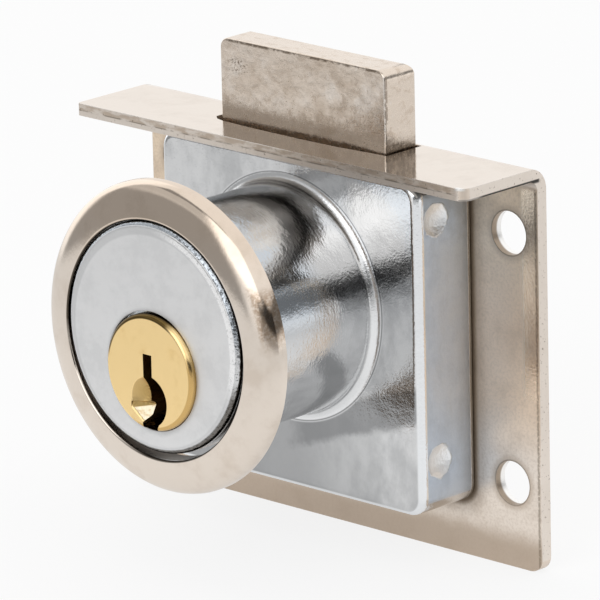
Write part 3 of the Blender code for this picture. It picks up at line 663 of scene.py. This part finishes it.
# The sides, painted bluish against the warm plate they mirror and with painted shade towards the top and
# back; their dimples; a painted highlight on the root fillet with a thin dark line outside it; and painted
# highlights on the rounds and seam.
# Painted bluish against the warm plate the sides mirror, then dimmer towards the top and back: painted shade,
# with streaks.
case_chrome.paint(on_side, (0.63, 0.71, 0.82))
dimmer = (z + smear * 6).ramp(9.5, 14.5) + y.ramp(-2.5, -0.6) * 0.5
dimmer = dimmer + (streak * 0.4 + smear * 0.6).ramp(0.42, 0.66) * 0.35
case_chrome.paint(on_side * dimmer, (0.50, 0.55, 0.61))
dish_up = abs(z - sum(DIMPLE_HEIGHTS) / 2) - (DIMPLE_HEIGHTS[0] - DIMPLE_HEIGHTS[1]) / 2
from_dish = case_chrome.distance(y - DIMPLE_PLACE, dish_up) + case_chrome.noise(0.8, 3.0, 0.6) * 0.7
in_dish = from_dish.fall(1.85, 2.05) * across.ramp(15.7, 15.8)
case_chrome.paint(in_dish, (0.93, 0.95, 0.97))
# Painted highlights on the root fillet and, below, on the front rounds and the rear seam; a thin dark line
# lies outside the fillet.
case_chrome.paint(on_root * 0.9, (0.90, 0.91, 0.92))
case_chrome.paint(radius.band(11.86, 11.98, 0.05) * on_case * 0.7, (0.12, 0.125, 0.13))
case_chrome.paint((on_round + on_seam) * on_case * 0.9, (0.90, 0.92, 0.94))

# The barrel's face and edge: satin, glazed with a painted highlight at the upper right, painted shade round
# the margin, darker round the plug and along the lower edge, and painted shade on the barrel inside the ring.
case_chrome.paint(on_face, (0.87, 0.872, 0.875))
case_chrome.paint(on_face * smear.ramp(0.42, 0.68) * 0.4, (0.74, 0.745, 0.75))
# The glazed rim at the upper right is painted near white: a painted highlight.
glazed_highlight = on_face * radius.ramp(9.8, 10.1) * (x * 0.85 + z * 0.5).ramp(5, 8.5)
# Painted shade on the face's outer margin.
margin = on_face * (radius + z * 0.03).ramp(9.9, 10.15) * (1 - glazed_highlight)
case_chrome.paint(margin * 0.5, (0.62, 0.625, 0.63))
case_chrome.paint(glazed_highlight * 0.9, (1.0, 1.0, 1.0))
scuffed = grit.ramp(0.52, 0.6) * on_edge * x.ramp(-2, 6)
case_chrome.paint(scuffed * 0.85 + glazed_highlight * grit.ramp(0.58, 0.66) * 0.3, (0.10, 0.105, 0.11))
from_plug = case_chrome.distance(x, z - PLUG_AXIS)
case_chrome.paint(on_face * (from_plug + smear * 0.8).ramp(5.9, 6.6, 0.5, 0.0), (0.40, 0.405, 0.41))
# Painted shade on the barrel inside the ring.
behind_ring = (y + ragged * 0.12).band(-24.75, -23.1, 0.25) * (z - x * 0.35 + ragged * 0.6).fall(-6.5, -3)
case_chrome.paint(behind_ring * 0.95, (0.045, 0.038, 0.032))
low_edge = on_edge * (z - x * 0.15).fall(-6, -3.5)
case_chrome.paint(low_edge * 0.85, (0.10, 0.085, 0.07))

gloss = smear.ramp(0.35, 0.7, 0.03, 0.10)
satin = (smear * 0.5 + grit * 0.5).ramp(0.35, 0.65, 0.42, 0.56)
dull = on_face + on_side * (1 - on_seam) * (1 - in_dish)
case_chrome.set("Roughness", gloss + (satin - gloss) * dull + in_dish * 0.3 + on_root * 0.15 - glazed_highlight * 0.28)
strokes = grit * 0.014 + turning * on_barrel * 0.006
rough_places = on_edge * 2.4 + in_dish * 3 + glazed_highlight * 1.1 + on_seam + on_round * 0.5
hammered = case_chrome.noise(0.42, 3.0, 0.6) * rough_places * 0.03
case_chrome.relief((swell * 0.06 + peel * 0.016 + strokes) * (1 - on_face) + hammered + grit * 0.003)
case.data.materials.append(case_chrome.material)
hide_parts("lock_case")
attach(case, "lock_body")


# Case studs
# Four studs are cast on the back of the case, in the same zinc. They go through the plate and are spun
# over behind it, and nothing else holds the two together.
class Rule(Nodes):
    """A Geometry Nodes tree with named inputs, which ends as plain mesh in its finish."""

    def __init__(self, name, inputs):
        tree = bpy.data.node_groups.new(name, "GeometryNodeTree")
        for label, kind in {"Geometry": "Geometry", **inputs, "Finish": "Material"}.items():
            tree.interface.new_socket(label, in_out="INPUT", socket_type="NodeSocket" + kind)
        tree.interface.new_socket("Geometry", in_out="OUTPUT", socket_type="NodeSocketGeometry")
        super().__init__(tree)

    def given(self, label):
        """What the tree is given for an input."""
        return self.add("NodeGroupInput", {}, {}, label)

    def close(self, shape):
        """Ends the tree with this shape."""
        real = self.add("GeometryNodeRealizeInstances", {}, {0: shape})
        painted = self.add("GeometryNodeSetMaterial", {}, {0: real, "Material": self.given("Finish")})
        self.tree.links.new(painted.socket, self.tree.nodes.new("NodeGroupOutput").inputs[0])

    def use_on(self, piece, values):
        """Puts the tree on a piece, with the values of its inputs by name."""
        modifier = piece.modifiers.new("rule", "NODES")
        modifier.node_group = self.tree
        items = self.tree.interface.items_tree
        sockets = {item.name: item.identifier for item in items if item.in_out == "INPUT"}
        for name, value in values.items():
            modifier[sockets[name]] = value


def points_at(name, places):
    """A piece that is only points, for a rule to build on."""
    mesh = bpy.data.meshes.new(name)
    mesh.from_pydata([Vector(place) * MM for place in places], [], [])
    return piece_of(name, mesh)


def row_of(name, base, places, finish):
    """The base piece's mesh on each place, as one mesh."""
    rule = Rule(name, {"Part": "Object"})
    part = rule.add("GeometryNodeObjectInfo", {}, {"Object": rule.given("Part")}, "Geometry")
    points = rule.given("Geometry")
    rule.close(rule.add("GeometryNodeInstanceOnPoints", {}, {"Points": points, "Instance": part}))
    row = points_at(name, places)
    rule.use_on(row, {"Part": base, "Finish": finish.material})
    settle(row)
    bpy.data.objects.remove(base)
    return row


stud_profile = [(POLE, -1.5), (1.4, -1.5), (1.4, 1.5), (2.05, 1.5), (2.2, 1.62), (2.12, 1.82), (1.7, 2.02),
                (0.9, 2.1), (POLE, 2.1)]
stud = turned("stud", stud_profile, steps=48)
shade(stud)
stud_places = [(across, 0, up) for across in (-STUD_SIDE, STUD_SIDE) for up in STUD_HEIGHTS]
studs = row_of("case_studs", stud, stud_places, case_chrome)
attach(studs, "lock_body")


# Cam and screw
# A steel disc behind the plug turns with it, and its eccentric pin lifts and drops the bolt. A slotted
# screw holds it on.
def dress(nodes, finish):
    """Gives CAD solids that stay a finish."""
    for node in nodes:
        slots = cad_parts[node].data.materials
        slots.clear()
        slots.append(finish.material)


steel = Finish("turned_steel", (0.56, 0.56, 0.57))
steel.set("Roughness", steel.noise(0.4, 3.0).ramp(0.3, 0.7, 0.22, 0.4))
steel.relief(steel.noise(0.12, 2.0, 0.5, (1, 5, 1)) * 0.0008)
dress(["drive_cam", "cam_screw"], steel)


# Key plug
# A brass plug turned on a lathe, with the keyway broached from end to end and a milled recess beside it
# where the key's shoulder rests.
PLUG_FACE, HEAD_BACK, PLUG_BACK = -26.0, -24.4, -7.7
PLUG_HEAD, PLUG_BODY, PLUG_ROUND = 5.55, 5.2, 0.45
TONGUE_HALF, TONGUE_UP = 3.0, 1.8
plug_profile = [
    (POLE, PLUG_BACK), (PLUG_BODY, PLUG_BACK), (PLUG_BODY, HEAD_BACK), (PLUG_HEAD, HEAD_BACK),
    *[(PLUG_HEAD - PLUG_ROUND * slow, PLUG_FACE + PLUG_ROUND * (1 - quick)) for slow, quick in quarter(9)],
    (POLE, PLUG_FACE),
]
plug = turned("brass_plug", plug_profile, (0, PLUG_AXIS), 128)
tongue = box("tongue", (-TONGUE_HALF, PLUG_BACK - 0.2, PLUG_AXIS - TONGUE_UP),
             (TONGUE_HALF, PLUG_BACK + 1.3, PLUG_AXIS + TONGUE_UP))
cut(plug, tongue, operation="UNION")
keyway = [
    (-0.69, 1.75), (0.43, 1.75),
    *arc((-0.22, -2.75), 2.48, 75, -55, 28),
    (0.6, -5.9), (-0.91, -5.9),
    (-0.91, -4.86), (-0.10, -4.10), (0.04, -2.98), (-0.66, -2.98),
]
keyway = [(across, PLUG_AXIS + up) for across, up in keyway]
cut(plug, prism("keyway", keyway, -27, -10.1, axis=1))

# The facet slopes in from its lower left edge, and a bowl lies above it.
FACET_TOP, FACET_SLOPE = -3.1, 0.47
FACET_START, FACET_WAY = (-2.33, -3.69), (0.619, 0.785)
facet = [(-2.33, FACET_TOP), FACET_START, (-0.96, -4.77), (-0.2, -5.37), (0.5, -4.9), (1.3, -4.2),
         (1.55, FACET_TOP)]
mouth, floor_of_facet = [], []
for across, up in facet:
    way = (across - FACET_START[0]) * FACET_WAY[0] + (up - FACET_START[1]) * FACET_WAY[1]
    mouth.append((across, -27, PLUG_AXIS + up))
    floor_of_facet.append((across, PLUG_FACE + max(0.0, way) * FACET_SLOPE, PLUG_AXIS + up))
cut(plug, skin("facet", [mouth, floor_of_facet]))
BOWL_X, BOWL_Z, BOWL_DEPTH = -0.6, PLUG_AXIS - 2.6, 0.95
BOWL_WIDE, BOWL_HIGH = 1.75, 2.1
bowl = [(POLE, PLUG_FACE + BOWL_DEPTH)]
bowl += [(i / 10, PLUG_FACE + BOWL_DEPTH * (1 - (i / 10) ** 2)) for i in range(1, 12)]
bowl += [(1.1, -27.5), (POLE, -27.5)]
bowl = skin("bowl", [[(BOWL_X + BOWL_WIDE * part * c, depth, BOWL_Z + BOWL_HIGH * part * s)
                      for c, s in disc((0, 0), 1, 72)] for part, depth in bowl])
upper_half = box("upper_half", (-4, -28, PLUG_AXIS + FACET_TOP), (3, -24, PLUG_AXIS + 3))
cut(bowl, upper_half, operation="INTERSECT")
cut(plug, bowl)
for place in PIN_ROW:
    cut(plug, prism("chamber", disc((0, place), CHAMBER, 32), PLUG_AXIS, PLUG_AXIS + 6, axis=2))
cut(plug, prism("thread", disc((0, PLUG_AXIS), 1.2, 32), -9.0, -6, axis=1))
shade(plug, 30)

BRASS, BRASS_DEEP = (1.0, 0.745, 0.37), (0.78, 0.49, 0.16)
brass = Finish("turned_brass", BRASS)
x, y, z = brass.axes
drop = z - PLUG_AXIS
from_axis = brass.distance(x, drop)
from_mark = brass.distance(x + 0.75, drop + 2.15)
side = brass.maths("ARCTAN2", drop, x) * DEGREES
facing = brass.parts(brass.add("ShaderNodeTexCoord", {}, {}, "Normal"))[1]
in_pocket = y.ramp(PLUG_FACE + 0.05, PLUG_FACE + 0.12) * from_axis.fall(4.9, 5.0)
on_facet = in_pocket * (drop + (0.2 - x) * 0.22).fall(-3.22, -3.12)
in_hollow = in_pocket * drop.ramp(-3.12, -3.06)
ledge = in_pocket * (1 - on_facet) * (1 - in_hollow)
on_wall = abs(facing).fall(0.2, 0.35) * from_axis.fall(4.95, 5.02)
on_rim = from_axis.ramp(5.08, 5.2) * y.fall(-25.0, -24.8)
brass.paint(brass.noise(2.2, 4.0, 0.65).ramp(0.55, 0.85) * 0.5, BRASS_DEEP)
# Painted dark reflections on the rim's top and lower side, leaving a bright stretch at the upper right.
brass.paint(on_rim * side.band(60, 168, 8) * 0.95, (0.13, 0.08, 0.02))
brass.paint(on_rim * side.band(-110, 20, 10) * 0.8, (0.62, 0.39, 0.13))
# Painted shade in the hollow, deepest at its middle, and on the ledge below it.
brass.paint(in_hollow * from_mark.ramp(0.2, 2.0, 0.95, 0.55), (0.50, 0.335, 0.12))
brass.paint(ledge * 0.9, (0.30, 0.20, 0.07))
# The facet is painted pale: painted light on the face turned up and forward.
brass.paint(on_facet * 0.9, (1.0, 0.90, 0.70))
stains = brass.noise(0.5, 3.0, 0.6, (2.5, 1, 0.6)).ramp(0.5, 0.66)
brass.paint(on_facet * stains * 0.6, (0.62, 0.42, 0.17))
# Painted shade on the keyway's walls.
brass.paint(on_wall * 0.9, (0.42, 0.27, 0.09))
brass.set("Roughness", brass.noise(1.2, 4.0, 0.6).ramp(0.3, 0.7, 0.15, 0.22) + in_pocket * 0.15)
rings = brass.add("ShaderNodeTexNoise", {"noise_dimensions": "1D"}, {"W": from_axis * 6, "Detail": 2.0})
drilled = brass.maths("SINE", from_mark * 20) * in_pocket * from_mark.fall(0.6, 1.0)
brass.relief(rings * 0.0012 + brass.noise(0.3) * (0.0004 + in_pocket * 0.02) + drilled * 0.012)
plug.data.materials.append(brass.material)
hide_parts("key_plug")
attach(plug, "plug_assembly")


# Pins, springs and caps
# Five chambers run down through the barrel into the plug. Each holds a brass key pin, a driver pin, a
# spring of steel wire, and a cap pressed in and polished flush at the top.
pin_brass = Finish("pin_brass", (0.82, 0.62, 0.32))
pin_brass.set("Roughness", pin_brass.noise(0.3, 3.0).ramp(0.3, 0.7, 0.2, 0.34))
dress([f"{kind}_{number}" for number in range(1, 6) for kind in ("key_pin", "driver_pin")], pin_brass)

SPRING_FOOT, SPRING_LENGTH, SPRING_TURNS = 5.93, 3.31, 4.0
COIL_RADIUS, WIRE_RADIUS = 0.71, 0.14
spring_steel = Finish("spring_steel", (0.50, 0.50, 0.51))
spring_steel.set("Roughness", spring_steel.noise(0.2, 2.0).ramp(0.3, 0.7, 0.2, 0.4))
coil = Rule("pin_springs", {
    "Turns": "Float", "Coil radius": "Float", "Wire radius": "Float", "Length": "Float",
})
spiral = coil.add("GeometryNodeCurveSpiral", {}, {
    "Resolution": 20,
    "Rotations": coil.given("Turns"),
    "Start Radius": coil.given("Coil radius"),
    "End Radius": coil.given("Coil radius"),
    "Height": coil.given("Length"),
})
thickness = coil.given("Wire radius")
section = coil.add("GeometryNodeCurvePrimitiveCircle", {}, {"Resolution": 10, "Radius": thickness})
wire = coil.add("GeometryNodeCurveToMesh", {}, {"Curve": spiral, "Profile Curve": section, "Fill Caps": True})
coil.close(coil.add("GeometryNodeInstanceOnPoints", {}, {"Points": coil.given("Geometry"), "Instance": wire}))
springs = points_at("pin_springs", [(0, place, SPRING_FOOT) for place in PIN_ROW])
coil.use_on(springs, {
    "Turns": SPRING_TURNS,
    "Coil radius": COIL_RADIUS * MM,
    "Wire radius": WIRE_RADIUS * MM,
    "Length": SPRING_LENGTH * MM,
    "Finish": spring_steel.material,
})
settle(springs)
for face in springs.data.polygons:
    face.use_smooth = True
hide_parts(*[f"pin_spring_{number}" for number in range(1, 6)])
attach(springs, "lock_body")

CAP, FLUSH = 1.135, BARREL - 0.004
cap_profile = [(POLE, 9.7), (1.05, 9.7), (CAP, 9.8), (CAP, 11.5), (POLE, 11.5)]
loops = [[(radius * c, radius * s, up) for c, s in disc((0, 0), 1, 40)] for radius, up in cap_profile]
cap = skin("cap", loops)
barrel_round = turned("barrel_round", [(POLE, -3), (FLUSH, -3), (FLUSH, 3), (POLE, 3)], steps=512)
cut(cap, barrel_round, operation="INTERSECT")
shade(cap)
caps = row_of("chamber_caps", cap, [(0, place, 0) for place in PIN_ROW], case_chrome)
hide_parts(*[f"chamber_cap_{number}" for number in range(1, 6)])
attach(caps, "lock_body")


# Deadbolt
# A block of zinc, nickel plated, that slides up through the flange. Its rear and end edges are rounded
# on top so that it finds the strike; the thin tail behind the case carries the cam's slot.
BOLT_LEFT, BOLT_RIGHT, BOLT_TOP = -10.155, 10.995, 23.0
BOLT_BACK, TAIL_FRONT, HEAD_FRONT = -1.22, -3.30, -5.34
TAIL_END, HEAD_FOOT = -3.64, 11.0
BOLT_ROUND = 1.0
CAM_SLOT_MIDDLE, CAM_SLOT_HALF, CAM_SLOT_BOTTOM, CAM_SLOT_TOP = 0.42, 5.6, -1.64, 3.24
bolt_outline = [
    (BOLT_BACK, TAIL_END), (TAIL_FRONT, TAIL_END), (TAIL_FRONT, HEAD_FOOT),
    (HEAD_FRONT, HEAD_FOOT), (HEAD_FRONT, BOLT_TOP), (BOLT_BACK, BOLT_TOP),
]
bolt = prism("plated_bolt", bolt_outline, BOLT_LEFT, BOLT_RIGHT, axis=0)
shape = bmesh.new()
shape.from_mesh(bolt.data)
rounded = []
for edge in shape.edges:
    first, second = (vertex.co / MM for vertex in edge.verts)
    on_top = first.z > BOLT_TOP - 0.1 and second.z > BOLT_TOP - 0.1
    at_end = abs(first.x - second.x) < 0.1
    at_back = first.y > BOLT_BACK - 0.1 and second.y > BOLT_BACK - 0.1
    if on_top and (at_end or at_back):
        rounded.append(edge)
bmesh.ops.bevel(shape, geom=rounded, offset=BOLT_ROUND * MM, segments=10, profile=0.5, affect="EDGES",
                clamp_overlap=True)
shape.to_mesh(bolt.data)
shape.free()
slot_left, slot_right = CAM_SLOT_MIDDLE - CAM_SLOT_HALF, CAM_SLOT_MIDDLE + CAM_SLOT_HALF
cut(bolt, box("cam_slot", (slot_left, -4.0, CAM_SLOT_BOTTOM), (slot_right, 0, CAM_SLOT_TOP)))
ease_edges(bolt, 0.18, 40, 4)
shade(bolt)

bolt_nickel = Finish("bolt_nickel", NICKEL)
x, y, z = bolt_nickel.axes
cloud = bolt_nickel.noise(3.4, 3.0, 0.55)
tumbled = bolt_nickel.noise(0.8, 4.0, 0.6, (1.3, 1, 0.9), 0.4)
speck = bolt_nickel.noise(0.28, 3.0, 0.65)
scattered = tumbled * 0.6 + speck * 0.4
on_front = y.fall(-5.3, -5.12)
bolt_nickel.paint(cloud.ramp(0.45, 0.7) * on_front * 0.6, NICKEL_STAIN_AND_SHADE)
bolt_nickel.paint(tumbled.ramp(0.52, 0.68) * 0.45, NICKEL_STAIN_AND_SHADE)
pale = scattered.ramp(0.28, 0.42, 0.8, 0.0)
misty = on_front * cloud.fall(0.36, 0.50) * z.band(17.2, 22, 1.2)
# corner_line is a painted highlight down the front's right edge.
corner_line = on_front * x.ramp(10.72, 10.82)
bolt_nickel.paint(pale + misty * 0.6 + corner_line * 0.9, NICKEL_PALE)
foot = x.ramp(10.8, 10.93) * (z + speck * 2).ramp(16.0, 17.6, 0.75, 0.0)
bolt_nickel.paint(foot, NICKEL_BROWN)
pit_up = z - 20.6
from_pits = bolt_nickel.maths("SQRT", (x + 7.9) * (x + 7.9) + pit_up * pit_up * 3)
pitted = on_front * from_pits.fall(0.6, 1.9) * speck.ramp(0.50, 0.60)
front_rim = on_front * z.band(22.70, 22.93, 0.06) * bolt_nickel.noise(1.2, 3.0, 0.7).ramp(0.38, 0.56)
end_rim = x.ramp(10.86, 10.93) * y.fall(-5.05, -4.95) * bolt_nickel.noise(0.9, 3.0, 0.7).ramp(0.48, 0.56)
bolt_nickel.paint(pitted * 0.8 + front_rim * 0.85 + end_rim * 0.6, (0.18, 0.13, 0.09))
bolt_nickel.set("Roughness", scattered.ramp(0.35, 0.65, 0.15, 0.32))
bolt_nickel.relief(bolt_nickel.noise(2.2, 2.0) * 0.045 + tumbled * 0.024 + speck * 0.006)
bolt.data.materials.append(bolt_nickel.material)
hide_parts("deadbolt")
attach(bolt, "bolt")


# Rosette ring
# A ring pressed from thin sheet and nickel plated. It hangs loose on the barrel and covers the edge of
# the hole in the drawer front.
RING_IN, RING_OUT, RING_FRONT, RING_BACK = 11.33, 14.83, -25.2, -22.9
RING_SHEET, LIP, RING_SAG = 0.7, 0.22, 0.3
RING_MIDDLE, RING_STEPS = 13.0, 192
OUTER_DROP, INNER_DROP = 1.75, 1.45
DOME_SLOPES = ((0, 8), (0.3, 13), (0.6, 22), (0.82, 36), (0.94, 58), (1.0, 80))


def domed(first, width, drop, steps=48):
    """Points after the first on a dome that falls slowly and then turns down at its rim."""
    points, fall = [], 0
    for i in range(1, steps + 1):
        part = (i - 0.5) / steps
        low, high = next((a, b) for a, b in zip(DOME_SLOPES, DOME_SLOPES[1:]) if a[0] <= part <= b[0])
        slope = low[1] + (high[1] - low[1]) * (part - low[0]) / (high[0] - low[0])
        fall += math.tan(math.radians(slope)) * width / steps
        points.append((first[0] + width * i / steps, fall))
    return [(radius, first[1] + depth * drop / fall) for radius, depth in points]


outer_start = (RING_IN + LIP, RING_FRONT)
inner_start = (RING_IN + RING_SHEET, RING_FRONT + RING_SHEET)
section = [
    (RING_IN, RING_BACK),
    *arc((RING_IN + LIP, RING_FRONT + LIP), LIP, 180, 270, 6),
    *domed(outer_start, RING_OUT - outer_start[0], OUTER_DROP),
    (RING_OUT, RING_BACK),
    (RING_OUT - RING_SHEET, RING_BACK),
    *reversed([inner_start, *domed(inner_start, RING_OUT - RING_SHEET - inner_start[0], INNER_DROP)]),
    (RING_IN + RING_SHEET, RING_BACK),
]
curve = bpy.data.curves.new("ring_section", "CURVE")
curve.dimensions = "3D"
spline = curve.splines.new("POLY")
spline.points.add(len(section) - 1)
spline.use_cyclic_u = True
for point, (radius, depth) in zip(spline.points, section):
    point.co = ((radius - RING_MIDDLE) * MM, depth * MM, 0, 1)
outline = piece_of("ring_outline", curve)

ring_nickel = Finish("ring_nickel", (0.82, 0.735, 0.65))
x, y, z = ring_nickel.axes
hung = z + RING_SAG
radius = ring_nickel.distance(x, hung)
side = ring_nickel.maths("ARCTAN2", hung, x) * DEGREES
cloud = ring_nickel.noise(3.0, 4.0, 0.6)
speck = ring_nickel.noise(0.35, 3.0, 0.65)
behind = y - RING_FRONT - (radius - RING_IN - LIP) * 0.30 - radius.ramp(13.4, 14.8, 0.0, 0.9)
in_shell = behind.ramp(0.35, 0.5) * radius.fall(14.5, 14.65)
in_bore = radius.fall(11.42, 11.5) * (1 - side.band(-172, -108, 12))
# The top of the ring is painted browner: a painted reflection tone.
ring_nickel.paint(hung.ramp(4, 12), (0.80, 0.675, 0.56))
ring_nickel.paint(cloud.ramp(0.45, 0.75) * 0.35, NICKEL_STAIN_AND_SHADE)
# A painted dark reflection, speckled, on the outer part of the ring's right side.
painted_dark_reflection = (side + cloud * 12).band(15, 34, 3) * (radius + speck * 0.8).ramp(13.6, 14.3)
ring_nickel.paint(painted_dark_reflection * speck.ramp(0.3, 0.6, 0.35, 0.85), (0.40, 0.29, 0.20))
# Painted shade inside the pressed shell and in the bore, except low on the left of the bore.
ring_nickel.paint(in_shell * 0.9, (0.46, 0.39, 0.33))
ring_nickel.paint(in_bore * 0.97, (0.07, 0.055, 0.04))
ring_nickel.set("Roughness", (cloud * 0.6 + speck * 0.4).ramp(0.35, 0.65, 0.07, 0.14) + in_shell * 0.2)
ring_nickel.relief(ring_nickel.noise(2.0, 2.0) * 0.010 + speck * 0.004)

press = Rule("pressed_ring", {"Radius": "Float", "Steps": "Int"})
circle = press.add("GeometryNodeCurvePrimitiveCircle", {}, {
    "Radius": press.given("Radius"), "Resolution": press.given("Steps"),
})
swept = press.add("GeometryNodeCurveToMesh", {}, {"Curve": circle, "Profile Curve": press.given("Geometry")})
upright = (math.radians(90), 0, 0)
press.close(press.add("GeometryNodeTransform", {}, {0: swept, "Rotation": upright}))
press.use_on(outline, {"Radius": RING_MIDDLE * MM, "Steps": RING_STEPS, "Finish": ring_nickel.material})
mesh = finished_mesh(outline)
bpy.data.objects.remove(outline)
shape = bmesh.new()
shape.from_mesh(mesh)
bmesh.ops.remove_doubles(shape, verts=shape.verts, dist=1e-7)
bmesh.ops.recalc_face_normals(shape, faces=shape.faces)
bmesh.ops.translate(shape, verts=shape.verts, vec=(0, 0, -RING_SAG * MM))
shape.to_mesh(mesh)
shape.free()
ring = piece_of("pressed_ring", mesh)
shade(ring)
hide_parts("rosette_ring")
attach(ring, "rosette")
